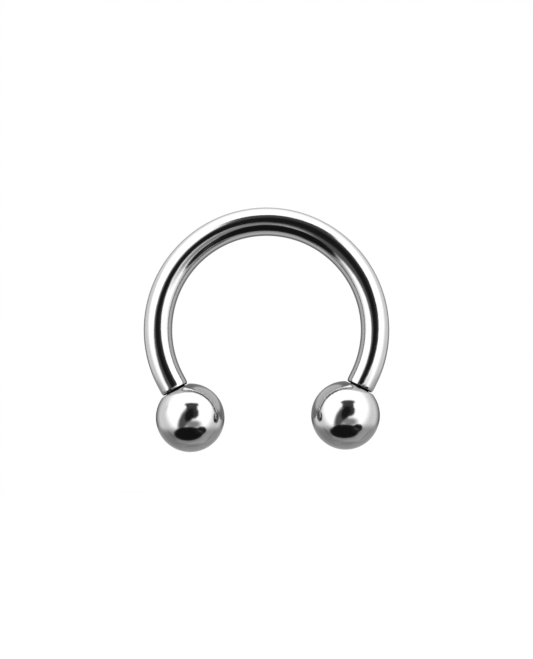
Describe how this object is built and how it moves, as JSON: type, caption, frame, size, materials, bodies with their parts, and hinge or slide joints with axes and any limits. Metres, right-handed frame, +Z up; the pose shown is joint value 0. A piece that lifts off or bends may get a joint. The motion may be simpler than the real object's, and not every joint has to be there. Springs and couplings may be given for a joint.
{
  "type": "circular barbell ring",
  "caption": "Circular barbell ring: a polished steel bar bent to a horseshoe, threaded at each end, with a screw-on ball on each thread.",
  "frame": {"origin": "centre of the ring, on the bar's centreline circle's axis", "axes": "the ring stands in the XZ plane: +X to its right, +Z up through the arch, away from the mouth between the balls, and +Y along the ring's own axis, away from a viewer in front of it"},
  "size_m": [0.0104, 0.0028, 0.0103],
  "materials": {
    "polished_bar": "mirror polished surgical steel wire, with fine polishing lines along the bar",
    "polished_ball": "mirror polished surgical steel, tumbled"
  },
  "bodies": {
    "bar": {"curved_bar": "polished_bar"},
    "left_ball": {"left_ball": "polished_ball"},
    "right_ball": {"right_ball": "polished_ball"}
  },
  "joints": [
    {"name": "left_ball_unscrew", "type": "slide", "parent": "bar", "child": "left_ball", "axis": [0.4555, 0, -0.8902], "range_m": [0, 0.0022]},
    {"name": "right_ball_unscrew", "type": "slide", "parent": "bar", "child": "right_ball", "axis": [-0.4555, 0, -0.8902], "range_m": [0, 0.0022]}
  ]
}
